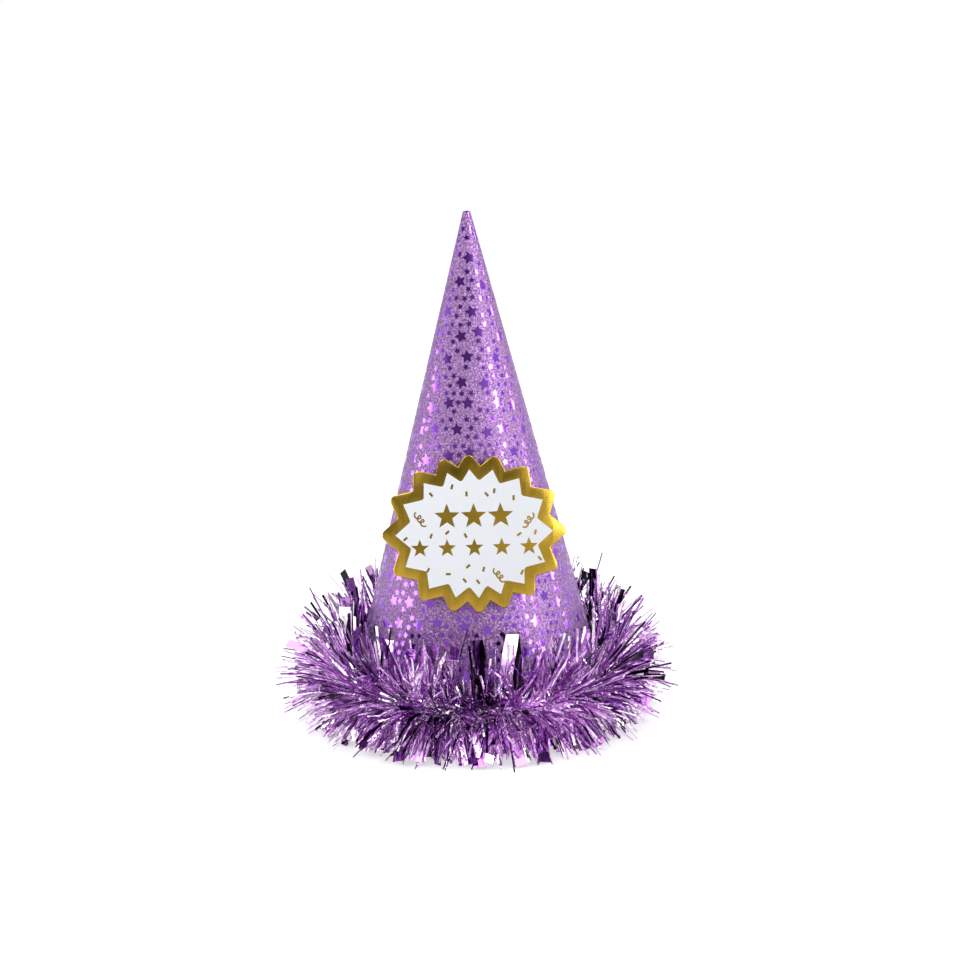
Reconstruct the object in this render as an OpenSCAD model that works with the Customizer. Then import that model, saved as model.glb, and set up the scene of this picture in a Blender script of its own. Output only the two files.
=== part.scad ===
// Party hat: a card cone with a glued lap at the back, a star-shaped badge on
// two foam pads at the front, and a tinsel garland glued round the foot.
// The rim stands on z = 0, the cone's axis is Z, and the badge faces -Y.

/* [Cone] */
// Outer diameter of the rim
base_d = 120; // [100:1:150]
// Height from the rim to the point that the sheet would run to
cone_h = 234; // [200:1:300]
// Outer diameter of the small opening left at the tip
tip_d = 3; // [2:0.5:8]
// Thickness of the foil-faced card
card_t = 0.4; // [0.3:0.05:0.6]
// Width of the glued lap, measured at the rim
lap_w = 12; // [6:1:20]
// Length of each slit for a chin elastic
slit_l = 4; // [2:0.5:6]
// Width of each slit for a chin elastic
slit_w = 0.8; // [0.5:0.1:1.5]
// Height of the slits above the rim
slit_z = 8; // [5:0.5:12]

/* [Badge] */
// Width of the badge as seen from the front
badge_w = 83; // [60:1:90]
// Height of the badge
badge_h = 72; // [50:1:80]
// Number of points round the badge
badge_points = 16; // [12:2:20]
// Depth of the notches, as a share of the badge's size
notch_share = 0.18; // [0.1:0.01:0.25]
// Radius on the tips of the points
point_r = 2.6; // [1:0.1:3]
// Width of the gold border
border_w = 4.7; // [3:0.1:7]
// Thickness of the badge card
badge_t = 1; // [0.6:0.1:2]
// Depth of the white printed field in the card's face
print_t = 0.2; // [0.1:0.05:0.4]
// Radius that the badge is bent to
bend_r = 110; // [70:1:200]
// Height of the badge's centre above the rim
badge_z = 93.5; // [85:0.5:110]

/* [Foam pads] */
// Thickness of the foam between cone and badge
pad_t = 1.6; // [1:0.1:3]
// Width of each pad
pad_w = 9; // [5:0.5:14]
// Height of each pad
pad_l = 16; // [8:1:24]
// Distance from the badge's centre to each pad's centre
pad_offset = 17; // [14:1:22]

/* [Tinsel] */
// Height of the garland's core above the rim
core_z = 19; // [14:0.5:26]
// Diameter of the twisted wire pair in the core
core_d = 2.4; // [1.6:0.1:3]
// Thickness of the unslit film wound round the wires
wrap_t = 0.9; // [0.6:0.1:1.5]
// Clearance between wires and film
wrap_gap = 0.1; // [0.05:0.05:0.2]
// Gap between the garland and the cone's wall, filled by the glue
seat_gap = 0.3; // [0.2:0.1:0.8]
// Gap between the garland's two ends at the back
end_gap = 3; // [1:0.5:10]
// Longest strip, from the core to its tip
strip_l = 34; // [24:1:40]
// Number of tufts of film strips round the hat
tuft_count = 108; // [80:1:120]
// Number of strips in a fine tuft
tuft_strips = 4; // [2:1:4]
// Width of a fine strip
fine_w = 2.6; // [1.6:0.1:3]
// Width of a wide strip
wide_w = 6; // [4:0.5:7]
// One tuft in this many has wide strips
wide_every = 6; // [4:1:12]
// Thickness of the film as modelled
film_t = 0.3; // [0.2:0.05:0.5]
// Number of glue beads between garland and cone
bead_count = 12; // [6:1:20]
// Length of a glue bead along the garland
bead_l = 6; // [3:0.5:10]
// Radius of a glue bead
bead_r = 1.8; // [1.4:0.1:2.4]

/* [Hidden] */
$fn = 96;

// Cone
slope = base_d / 2 / cone_h;
half_angle = atan(slope);
// Wall measured level, in even hundredths so that the two half turns meet exactly
wall = round(50 * card_t / cos(half_angle)) / 50;
tip_z = cone_h - tip_d / 2 / slope;
seam = 90;
lap_angle = lap_w / (base_d / 2) * 180 / PI;
function cone_r(z) = base_d / 2 - slope * z;

// Badge
half_step = 180 / badge_points;
crowding = 8;
crowd_phase = -7.5;
turn = 1.5;
motif_line = 0.7;
// Radius on the gold where it points into the white field
inner_r = 1.2;
// Rows of stars in the white field: number, then star radius, spacing and height
// above the centre as shares of the badge's half width and half height
star_rows = [[3, 0.14, 0.28, 0.21], [5, 0.1, 0.285, -0.17]];
star_waist = 0.42;
// Confetti: place and turn of each piece, as shares of the badge's half width and half height
confetti = [
    [-0.44, 0.48, 130], [-0.22, 0.57, 75], [-0.07, 0.48, 90], [0.14, 0.47, 130], [0.22, 0.51, 80],
    [0.42, 0.42, 90], [-0.28, 0.02, 40], [-0.45, -0.02, 70], [-0.72, -0.05, 40], [-0.09, -0.02, 115],
    [0.47, -0.02, 35], [0.64, 0, 75], [0.68, -0.32, 130], [-0.49, -0.43, 60], [-0.28, -0.48, 0],
    [-0.07, -0.39, 40], [0.09, -0.43, 75], [-0.11, -0.56, 130], [0.03, -0.58, 125], [0.49, -0.48, 65],
];
confetti_l = 2.2;
confetti_w = 1;
// Looped streamers: place of the middle and turn of each, as shares of the half width and half height
streamers = [[-0.55, 0.19, -53], [0.56, 0.15, 53], [0.26, -0.5, -52]];
streamer_bows = 3;
streamer_pitch = 2.1;
bow_r = 1.6;
arc_steps = 6;

// Tinsel
wrap_in = core_d / 2 + wrap_gap;
wrap_r = wrap_in + wrap_t;
ring_r = cone_r(core_z) + wall + (wrap_r + seat_gap) / cos(half_angle);
end_angle = end_gap / ring_r * 180 / PI;
bead_angle = bead_l / ring_r * 180 / PI;
wrap_sides = 8;
golden = (sqrt(5) - 1) / 2;
length_phase = 60;
wide_strips = 2;
lowest_angle = -62;
highest_angle = 96;
shortest_share = 0.6;
low_bias = 1.25;
strip_droop = 14;
yaw_max = 24;
floor_gap = 0.25;

// The card's section from rim to tip, moved outwards by `out`; `filled` runs it in to the axis
module wall_section(out, filled) {
    foot = cone_r(0) + out;
    top = cone_r(tip_z) + out;
    polygon(filled
        ? [[0, 0], [foot, 0], [top, tip_z], [0, tip_z]]
        : [[foot - wall, 0], [foot, 0], [top, tip_z], [top - wall, tip_z]]);
}

// The sheet as rolled: two half turns on centres half a wall apart, so that the
// end of the second rides on the start of the first, and the lap carries on over it
module rolled_sheet(filled = false) {
    rotate([0, 0, seam]) rotate_extrude(angle = 180) wall_section(0, filled);
    translate([0, wall / 2, 0])
        rotate([0, 0, seam + 180]) rotate_extrude(angle = 180) wall_section(wall / 2, filled);
    rotate([0, 0, seam]) rotate_extrude(angle = lap_angle) wall_section(wall, filled);
}

module cone() color("mediumpurple") difference() {
    rolled_sheet();
    for (side = [-1, 1])
        translate([side * cone_r(slit_z), 0, slit_z])
            cube([8 * card_t + slope * slit_l, slit_w, slit_l], center = true);
}

// Puts children on the front of the cone: X across, Y up the slope, Z outwards
module on_front(z) translate([0, -cone_r(z), z]) rotate([90 - half_angle, 0, 0]) children();

// Angle round the ellipse of corner i, where even corners are points and odd ones notches
function corner_angle(i) =
    let (a = i * half_step) a + turn + crowding * sin(2 * a + crowd_phase);
function corner(i) =
    let (share = i % 2 == 0 ? 1 : 1 - notch_share, a = corner_angle(i))
    [share * badge_w / 2 * cos(a), share * badge_h / 2 * sin(a)];

module burst() polygon([for (i = [0 : 2 * badge_points - 1]) corner(i)]);

module badge_outline() offset(r = point_r, $fn = 20) offset(delta = -point_r) burst();

// Five-pointed star of outer radius r
module star(r) polygon([for (i = [0 : 9])
    (i % 2 == 0 ? r : star_waist * r) * [sin(36 * i), cos(36 * i)]]);

// Half a ring of radius r round [x, 0], above the X axis or, with side -1, below it
module half_ring(x, r, side) polygon(concat(
    [for (k = [0 : arc_steps]) let (a = side * 180 * k / arc_steps)
        [x, 0] + (r + motif_line / 2) * [cos(a), sin(a)]],
    [for (k = [arc_steps : -1 : 0]) let (a = side * 180 * k / arc_steps)
        [x, 0] + (r - motif_line / 2) * [cos(a), sin(a)]]));

// Streamer: wide bows below the line, joined above it by narrow ones that close the loops
module streamer() for (k = [0 : streamer_bows - 1]) {
    x = (k - (streamer_bows - 1) / 2) * streamer_pitch;
    half_ring(x, bow_r, -1);
    if (k > 0) half_ring(x - streamer_pitch / 2, bow_r - streamer_pitch / 2, 1);
}

// Puts children on the badge's drawing at a share of its half width and half height
module on_badge(place) translate([place.x * badge_w / 2, place.y * badge_h / 2])
    rotate(place[2]) children();

module motifs() {
    for (row = star_rows, i = [0 : row[0] - 1])
        translate([(i - (row[0] - 1) / 2) * row[2] * badge_w / 2, row[3] * badge_h / 2])
            star(row[1] * badge_w / 2);
    for (c = confetti) on_badge(c) square([confetti_l, confetti_w], center = true);
    for (c = streamers) on_badge(c) streamer();
}

// The white field: the badge's outline set in by the border, less what stays gold
module print_field() difference() {
    offset(r = -inner_r, $fn = 20) offset(delta = inner_r - border_w) burst();
    motifs();
}

// A layer of the bent badge between two depths behind its face
module bent_layer(from_face, to_face) {
    face_z = pad_t + badge_t;
    drop = bend_r - sqrt(bend_r * bend_r - badge_w * badge_w / 4);
    intersection() {
        translate([0, 0, face_z - drop - 2 * badge_t])
            linear_extrude(drop + 3 * badge_t) children();
        translate([0, 0, face_z - bend_r]) rotate([90, 0, 0]) difference() {
            cylinder(r = bend_r - from_face, h = 2 * badge_h, center = true);
            cylinder(r = bend_r - to_face, h = 3 * badge_h, center = true);
        }
    }
}

module badge_card() color("goldenrod") on_front(badge_z) difference() {
    bent_layer(0, badge_t) badge_outline();
    bent_layer(-badge_t, print_t) print_field();
}

module badge_print() color("white") on_front(badge_z) bent_layer(0, print_t) print_field();

module foam_pads() color("whitesmoke") for (side = [-1, 1]) difference() {
    $fn = 360;
    on_front(badge_z) difference() {
        translate([0, side * pad_offset, 0])
            cube([pad_w, pad_l, 3 * pad_t], center = true);
        translate([0, 0, pad_t - bend_r]) rotate([90, 0, 0]) difference() {
            cylinder(r = 2 * bend_r, h = 2 * badge_h, center = true);
            cylinder(r = bend_r, h = 3 * badge_h, center = true);
        }
    }
    rolled_sheet(filled = true);
}

// Sweeps a round or hollow section round the foot of the cone, open at the back
module round_the_foot() translate([0, 0, core_z])
    rotate([0, 0, seam + end_angle / 2]) rotate_extrude(angle = 360 - end_angle)
        translate([ring_r, 0]) children();

module tinsel_core() color("silver") round_the_foot() circle(d = core_d, $fn = 32);

// Share from 0 to 1 that jumps about evenly as i grows
function scatter(i, step) = i * step - floor(i * step);

// Side view of a strip that leaves the core at angle a and is bent once: it
// droops at the knee, or lies down where it meets the surface
function strip_side(a, l) =
    let (
        down = core_z - floor_gap - film_t / 2,
        first = a < 0 ? min(l / 2, down / -sin(a)) : l / 2,
        knee = first * [cos(a), sin(a)],
        second = l - first,
        b = max(a - strip_droop, asin(max(-1, (-down - knee.y) / second))),
        tip = knee + second * [cos(b), sin(b)],
        root = wrap_in * [cos(a), sin(a)],
        mid = (a + b) / 2,
        half = film_t / 2,
        n_root = half * [-sin(a), cos(a)],
        n_knee = half * [-sin(mid), cos(mid)],
        n_tip = half * [-sin(b), cos(b)]
    )
    [root - n_root, knee - n_knee, tip - n_tip, tip + n_tip, knee + n_knee, root + n_root];

// A tuft: strips cut side by side from one length of film, fanned out from the core
module tuft(i) {
    wide = i % wide_every == 0;
    n = wide ? wide_strips : tuft_strips;
    fan = [for (k = [0 : n - 1]) each strip_side(
        lowest_angle + (highest_angle - lowest_angle) * pow((k + scatter(i, golden)) / n, low_bias),
        strip_l * (shortest_share
            + (1 - shortest_share) * scatter(length_phase + i + k * tuft_count, sqrt(2))))];
    rotate([0, 0, seam + end_angle / 2 + (360 - end_angle) * (i + 0.5) / tuft_count])
        translate([ring_r, 0, core_z])
            rotate([90, 0, yaw_max * (2 * scatter(i, sqrt(3)) - 1)])
                linear_extrude(wide ? wide_w : fine_w, center = true) polygon(fan);
}

// Unslit middle of the film wound round the wires, with the tufts standing out of it
module tinsel_fringe() color("purple") difference() {
    union() {
        round_the_foot() circle(r = wrap_r, $fn = wrap_sides);
        for (i = [0 : tuft_count - 1]) tuft(i);
    }
    round_the_foot() circle(r = wrap_in / cos(180 / wrap_sides), $fn = wrap_sides);
}

// Short runs of hot glue that fill the gap between the cone's wall and the film
module glue_beads() color("ivory") for (k = [0 : bead_count - 1])
    difference() {
        $fn = 360;
        translate([0, 0, core_z]) rotate([0, 0, seam + 360 * (k + 0.5) / bead_count - bead_angle / 2])
            rotate_extrude(angle = bead_angle) translate([ring_r, 0]) difference() {
                translate(-(wrap_r + seat_gap / 2) * [cos(half_angle), sin(half_angle)])
                    circle(r = bead_r, $fn = 32);
                circle(r = wrap_r, $fn = wrap_sides);
            }
        rolled_sheet(filled = true);
    }

cone();
badge_card();
badge_print();
foam_pads();
tinsel_core();
tinsel_fringe();
glue_beads();
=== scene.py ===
"""Party hat: a rolled cone of star foil card, a gold burst badge and a tinsel garland.

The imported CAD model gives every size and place. This script dresses it: the
cone gets its printed mirror foil, the badge its rounded foil edge, and the
garland its thousands of cut film strips.
"""

from __future__ import annotations

import logging
import math
from dataclasses import dataclass
from enum import Enum

import bpy
import numpy as np
from mathutils import Matrix, Vector

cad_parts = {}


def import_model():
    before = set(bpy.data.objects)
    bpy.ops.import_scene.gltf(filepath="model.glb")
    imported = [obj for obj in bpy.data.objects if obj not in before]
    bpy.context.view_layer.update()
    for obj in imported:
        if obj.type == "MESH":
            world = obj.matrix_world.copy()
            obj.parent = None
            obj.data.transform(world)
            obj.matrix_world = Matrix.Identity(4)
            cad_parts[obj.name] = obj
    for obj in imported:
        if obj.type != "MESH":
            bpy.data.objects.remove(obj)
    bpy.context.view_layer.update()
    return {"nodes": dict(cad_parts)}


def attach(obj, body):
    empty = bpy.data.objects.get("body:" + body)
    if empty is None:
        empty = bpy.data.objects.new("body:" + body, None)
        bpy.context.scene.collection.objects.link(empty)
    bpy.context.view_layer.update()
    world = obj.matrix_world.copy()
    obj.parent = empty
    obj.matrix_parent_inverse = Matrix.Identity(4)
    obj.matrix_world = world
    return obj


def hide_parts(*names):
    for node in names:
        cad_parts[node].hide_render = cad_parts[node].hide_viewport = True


LOG = logging.getLogger("party_hat")
MM = 0.001

# A noise texture's values hardly leave this range
NOISE_RANGE = (0.3, 0.7)

# A point in a drawing's plane is nearer to it than this, in metres
FLAT = 1e-7


# Helpers


def linear(hex_colour: str) -> tuple[float, float, float, float]:
    """Turns an sRGB hex colour into linear RGBA.

    Args:
        hex_colour: six hex digits with a leading hash.

    Returns:
        The colour as Blender's sockets hold it.
    """
    values = [int(hex_colour[i : i + 2], 16) / 255 for i in (1, 3, 5)]
    toned = [v / 12.92 if v <= 0.04045 else ((v + 0.055) / 1.055) ** 2.4 for v in values]
    return (*toned, 1.0)


def add_node(
    tree: bpy.types.NodeTree, kind: str, inputs: dict | None = None, **settings: object
) -> bpy.types.Node:
    """Adds one node with its settings, values and links.

    Args:
        tree: the node tree that gets the node.
        kind: the node's Blender type.
        inputs: socket name or number to a value, an output socket, or a node
            whose first output is meant.
        settings: the node's own properties.

    Returns:
        The new node.
    """
    node = tree.nodes.new(kind)
    for name, value in settings.items():
        setattr(node, name, value)
    for key, value in (inputs or {}).items():
        if isinstance(value, bpy.types.Node):
            value = value.outputs[0]
        if isinstance(value, bpy.types.NodeSocket):
            tree.links.new(value, node.inputs[key])
        else:
            node.inputs[key].default_value = value
    return node


def new_material(name: str) -> tuple[bpy.types.Material, bpy.types.NodeTree]:
    """Makes an empty node material.

    Args:
        name: what the real finish is.

    Returns:
        The material and its cleared tree.
    """
    material = bpy.data.materials.new(name)
    material.use_nodes = True
    material.node_tree.nodes.clear()
    return material, material.node_tree


def put_material(piece: bpy.types.Object, material: bpy.types.Material) -> None:
    """Gives a piece one material in its only slot."""
    piece.data.materials.clear()
    piece.data.materials.append(material)


def deselect_all() -> None:
    """Leaves object mode with nothing selected."""
    if bpy.context.object and bpy.context.object.mode != "OBJECT":
        bpy.ops.object.mode_set(mode="OBJECT")
    bpy.ops.object.select_all(action="DESELECT")


def mesh_piece(name: str, points: np.ndarray, faces: list | np.ndarray) -> bpy.types.Object:
    """Makes a mesh object from points and faces.

    Args:
        name: the piece's name.
        points: an array of n points in metres.
        faces: vertex numbers of each face, wound outwards.

    Returns:
        The object, at the origin.
    """
    mesh = bpy.data.meshes.new(name)
    mesh.from_pydata(points.tolist(), [], [list(map(int, f)) for f in faces])
    mesh.validate()
    piece = bpy.data.objects.new(name, mesh)
    bpy.context.scene.collection.objects.link(piece)
    return piece


def lofted_faces(count: int, rings: int, sides: int) -> np.ndarray:
    """Side faces of many lofts that share one layout.

    Args:
        count: how many separate lofts.
        rings: sections along each.
        sides: points round each section.

    Returns:
        Quads as vertex numbers, wound outwards.
    """
    first = np.arange(count)[:, None, None] * rings * sides
    ring = np.arange(rings - 1)[None, :, None] * sides
    side = np.arange(sides)[None, None, :]
    after = (side + 1) % sides
    a = first + ring + side
    b = first + ring + after
    return np.stack([a, b, b + sides, a + sides], -1).reshape(-1, 4)


def lofted_caps(count: int, rings: int, sides: int) -> np.ndarray:
    """End faces of many lofts that share one layout.

    Args:
        count: how many separate lofts.
        rings: sections along each.
        sides: points round each section.

    Returns:
        Polygons as vertex numbers, wound outwards.
    """
    first = np.arange(count)[:, None] * rings * sides
    side = np.arange(sides)[None, :]
    return np.concatenate([(first + side)[:, ::-1], first + (rings - 1) * sides + side])


# Sizes


@dataclass(frozen=True)
class HatSizes:
    """The hat's main sizes in metres, as its CAD model has them."""

    rim_radius: float = 60 * MM
    apex_height: float = 234 * MM
    wall: float = 0.42 * MM
    lap: float = 12 * MM
    core_height: float = 19 * MM
    wire_radius: float = 1.2 * MM
    wrap_radius: float = 2.2 * MM
    seat_gap: float = 0.3 * MM
    end_gap: float = 3 * MM

    @property
    def slope(self) -> float:
        """How far the cone's radius shrinks for each metre of height."""
        return self.rim_radius / self.apex_height

    @property
    def half_angle(self) -> float:
        """The cone's half angle in radians."""
        return math.atan(self.slope)

    @property
    def lap_turn(self) -> float:
        """The turn round the hat that the lap takes, in radians."""
        return self.lap / self.rim_radius

    @property
    def ring_radius(self) -> float:
        """The radius that the garland's core runs on."""
        foot = self.rim_radius - self.slope * self.core_height + self.wall
        return foot + (self.wrap_radius + self.seat_gap) / math.cos(self.half_angle)

    def wall_radius(self, height: np.ndarray | float) -> np.ndarray | float:
        """The cone's outer radius at a height, over the lap."""
        return self.rim_radius - self.slope * height + self.wall


# Finishes


@dataclass(frozen=True)
class StarRow:
    """One size of star in the foil's pattern, laid in staggered cells.

    Pitch, a cell's side, and radius, which runs to a star's points, are in
    millimetres on the flat sheet. The waist between two points is a share of
    the radius. Stray is the share of the cell in which a star's middle may
    fall, keep the share of the cells that hold one, and lean the most that a
    star is turned, in radians.
    """

    pitch: float
    radius: float
    waist: float
    stray: float
    keep: float
    lean: float
    seed: float

    def distance(
        self, tree: bpy.types.NodeTree, sheet: bpy.types.Node
    ) -> tuple[bpy.types.Node, bpy.types.Node]:
        """Builds the measure that is 0 on a star's edge and grows inwards.

        Args:
            tree: the foil's node tree.
            sheet: node whose output is the place on the flat sheet in mm.

        Returns:
            Nodes with the distance inside the nearest star and its centre on
            the sheet, both in mm.
        """
        tenth = math.radians(36)
        lean_out = (1 - self.waist * math.cos(tenth)) / (self.waist * math.sin(tenth))
        grid = add_node(
            tree, "ShaderNodeVectorMath", {0: sheet, "Scale": 1 / self.pitch}, operation="SCALE"
        )
        axes = add_node(tree, "ShaderNodeSeparateXYZ", {0: grid})
        row = add_node(tree, "ShaderNodeMath", {0: axes.outputs[1]}, operation="FLOOR")
        odd = add_node(tree, "ShaderNodeMath", {0: row, 1: 1.0}, operation="PINGPONG")
        across = add_node(
            tree, "ShaderNodeMath", {0: odd, 1: 0.5, 2: axes.outputs[0]}, operation="MULTIPLY_ADD"
        )
        moved = add_node(tree, "ShaderNodeCombineXYZ", {0: across, 1: axes.outputs[1], 2: self.seed})
        cell = add_node(tree, "ShaderNodeVectorMath", {0: moved}, operation="FLOOR")
        dice = add_node(tree, "ShaderNodeTexWhiteNoise", {"Vector": cell}, noise_dimensions="3D")
        inside = add_node(tree, "ShaderNodeVectorMath", {0: moved}, operation="FRACTION")
        centre = 0.5 - self.stray / 2
        placed = add_node(
            tree,
            "ShaderNodeVectorMath",
            {0: dice.outputs["Color"], 1: (self.stray, self.stray, 0), 2: (centre, centre, 0)},
            operation="MULTIPLY_ADD",
        )
        local = add_node(tree, "ShaderNodeVectorMath", {0: inside, 1: placed}, operation="SUBTRACT")
        flat = add_node(tree, "ShaderNodeVectorMath", {0: local, 1: (1, 1, 0)}, operation="MULTIPLY")
        part = add_node(tree, "ShaderNodeSeparateXYZ", {0: flat})
        dice_part = add_node(tree, "ShaderNodeSeparateXYZ", {0: dice.outputs["Color"]})
        angle = add_node(
            tree, "ShaderNodeMath", {0: part.outputs[0], 1: part.outputs[1]}, operation="ARCTAN2"
        )
        leaned = add_node(
            tree,
            "ShaderNodeMath",
            {0: dice_part.outputs[0], 1: self.lean, 2: angle},
            operation="MULTIPLY_ADD",
        )
        folded = add_node(tree, "ShaderNodeMath", {0: leaned, 1: tenth}, operation="PINGPONG")
        turned = add_node(
            tree, "ShaderNodeMath", {0: folded, 1: math.atan(lean_out)}, operation="SUBTRACT"
        )
        cosine = add_node(tree, "ShaderNodeMath", {0: turned}, operation="COSINE")
        length = add_node(tree, "ShaderNodeVectorMath", {0: flat}, operation="LENGTH")
        reach = add_node(
            tree, "ShaderNodeMath", {0: length.outputs["Value"], 1: cosine}, operation="MULTIPLY"
        )
        edge = self.radius / self.pitch / math.hypot(1, lean_out)
        kept = add_node(
            tree, "ShaderNodeMath", {0: dice_part.outputs[2], 1: self.keep}, operation="LESS_THAN"
        )
        limit = add_node(tree, "ShaderNodeMath", {0: kept, 1: edge + 1, 2: -1.0}, operation="MULTIPLY_ADD")
        gap = add_node(tree, "ShaderNodeMath", {0: limit, 1: reach}, operation="SUBTRACT")
        inside_mm = add_node(tree, "ShaderNodeMath", {0: gap, 1: self.pitch}, operation="MULTIPLY")
        from_centre = add_node(
            tree, "ShaderNodeVectorMath", {0: flat, "Scale": self.pitch}, operation="SCALE"
        )
        centre_mm = add_node(tree, "ShaderNodeVectorMath", {0: sheet, 1: from_centre}, operation="SUBTRACT")
        return inside_mm, centre_mm


@dataclass(frozen=True)
class StarFoilCard:
    """Card faced with lilac diffraction film in which stars are left as plain mirror.

    The ground is embossed with fine rings that break the light into soft
    glitter, and each star stays flat and mirrors the room. The card buckles a
    little where it was rolled. Lengths are in millimetres on the flat sheet,
    but the buckle's depth, and a ring's radius and line are shares of its
    cell. Rings and glitter are finer on real film and are drawn as coarse as
    they need to show.
    """

    sizes: HatSizes
    star_colour: str = "#9258cc"
    ground_dark: str = "#745284"
    ground_light: str = "#b391be"
    mottle_size: float = 0.9
    mottle_range: tuple[float, float] = (0.36, 0.64)
    ring_colour: str = "#653f7a"
    ring_pitch: float = 1.15
    ring_stray: float = 0.8
    ring_radius: float = 0.3
    ring_line: tuple[float, float] = (0.04, 0.13)
    ring_strength: float = 0.75
    glitter_size: float = 0.5
    glitter_tilt: float = 0.55
    buckle_size: float = 24.0
    buckle_depth: float = 0.7 * MM
    ground_roughness: float = 0.55
    star_roughness: float = 0.13
    edge_softness: float = 0.18
    star_room: float = 1.7
    large: StarRow = StarRow(pitch=10.6, radius=3.1, waist=0.5, stray=0.34, keep=0.9, lean=0.35, seed=3.0)
    small: StarRow = StarRow(pitch=3.75, radius=1.55, waist=0.52, stray=0.14, keep=0.93, lean=0.6, seed=7.0)

    def sheet_place(self, tree: bpy.types.NodeTree) -> bpy.types.Node:
        """Unrolls the cone: gives each point its place on the flat sheet.

        Args:
            tree: the foil's node tree.

        Returns:
            A node with the place in mm, the point of the sheet at the origin.
        """
        spot = add_node(tree, "ShaderNodeTexCoord").outputs["Object"]
        apex = (0, 0, self.sizes.apex_height)
        from_apex = add_node(tree, "ShaderNodeVectorMath", {0: spot, 1: apex}, operation="SUBTRACT")
        slant = add_node(tree, "ShaderNodeVectorMath", {0: from_apex}, operation="LENGTH")
        # The angle jumps at the lap's edge, so that the pattern breaks there and nowhere else
        lap = self.sizes.lap_turn
        turned = add_node(
            tree, "ShaderNodeVectorRotate", {"Vector": spot, "Angle": -lap}, rotation_type="Z_AXIS"
        )
        axes = add_node(tree, "ShaderNodeSeparateXYZ", {0: turned})
        front = add_node(tree, "ShaderNodeMath", {0: axes.outputs[1], 1: -1.0}, operation="MULTIPLY")
        from_lap = add_node(tree, "ShaderNodeMath", {0: axes.outputs[0], 1: front}, operation="ARCTAN2")
        round_hat = add_node(tree, "ShaderNodeMath", {0: from_lap, 1: lap}, operation="ADD")
        on_sheet = add_node(
            tree,
            "ShaderNodeMath",
            {0: round_hat, 1: math.sin(self.sizes.half_angle)},
            operation="MULTIPLY",
        )
        sine = add_node(tree, "ShaderNodeMath", {0: on_sheet}, operation="SINE")
        cosine = add_node(tree, "ShaderNodeMath", {0: on_sheet}, operation="COSINE")
        down = add_node(tree, "ShaderNodeMath", {0: cosine, 1: -1.0}, operation="MULTIPLY")
        heading = add_node(tree, "ShaderNodeCombineXYZ", {0: sine, 1: down})
        in_mm = add_node(
            tree, "ShaderNodeMath", {0: slant.outputs["Value"], 1: 1 / MM}, operation="MULTIPLY"
        )
        return add_node(
            tree, "ShaderNodeVectorMath", {0: heading, "Scale": in_mm}, operation="SCALE"
        )

    def star_mask(self, tree: bpy.types.NodeTree, sheet: bpy.types.Node) -> bpy.types.Node:
        """Marks the stars, the small ones only where the large ones leave them room.

        Args:
            tree: the foil's node tree.
            sheet: node whose output is the place on the flat sheet in mm.

        Returns:
            A node that gives 1 on a star and 0 on the ground.
        """
        large, _ = self.large.distance(tree, sheet)
        small, small_centre = self.small.distance(tree, sheet)
        room, _ = self.large.distance(tree, small_centre)
        clear = add_node(tree, "ShaderNodeMath", {0: room, 1: -self.star_room}, operation="LESS_THAN")
        soft = self.edge_softness / 2
        large_mask, small_mask = (
            add_node(tree, "ShaderNodeMapRange", {0: inside, 1: -soft, 2: soft, 3: 0.0, 4: 1.0})
            for inside in (large, small)
        )
        small_kept = add_node(tree, "ShaderNodeMath", {0: small_mask, 1: clear}, operation="MULTIPLY")
        return add_node(tree, "ShaderNodeMath", {0: large_mask, 1: small_kept}, operation="MAXIMUM")

    def ground_tone(self, tree: bpy.types.NodeTree, sheet: bpy.types.Node) -> bpy.types.NodeSocket:
        """Colours the ground between the stars: a soft mottle under darker embossed rings.

        Args:
            tree: the foil's node tree.
            sheet: node whose output is the place on the flat sheet in mm.

        Returns:
            The socket with the colour.
        """
        rings = add_node(
            tree,
            "ShaderNodeTexVoronoi",
            {"Vector": sheet, "Scale": 1 / self.ring_pitch, "Randomness": self.ring_stray},
            voronoi_dimensions="2D",
        )
        gap = add_node(
            tree, "ShaderNodeMath", {0: rings.outputs["Distance"], 1: self.ring_radius}, operation="SUBTRACT"
        )
        off = add_node(tree, "ShaderNodeMath", {0: gap}, operation="ABSOLUTE")
        core, edge = self.ring_line
        ring = add_node(
            tree, "ShaderNodeMapRange", {0: off, 1: edge, 2: core, 3: 0.0, 4: self.ring_strength}
        )
        mottle = add_node(
            tree,
            "ShaderNodeTexNoise",
            {"Vector": sheet, "Scale": 1 / self.mottle_size, "Detail": 2.0, "Roughness": 0.6},
            noise_dimensions="2D",
        )
        ground = add_node(tree, "ShaderNodeValToRGB", {0: mottle.outputs["Fac"]})
        tones = (self.ground_dark, self.ground_light)
        for stop, place, tone in zip(ground.color_ramp.elements, self.mottle_range, tones, strict=True):
            stop.position = place
            stop.color = linear(tone)
        ringed = add_node(
            tree, "ShaderNodeMix", {0: ring, 6: ground, 7: linear(self.ring_colour)}, data_type="RGBA"
        )
        return ringed.outputs[2]

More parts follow.
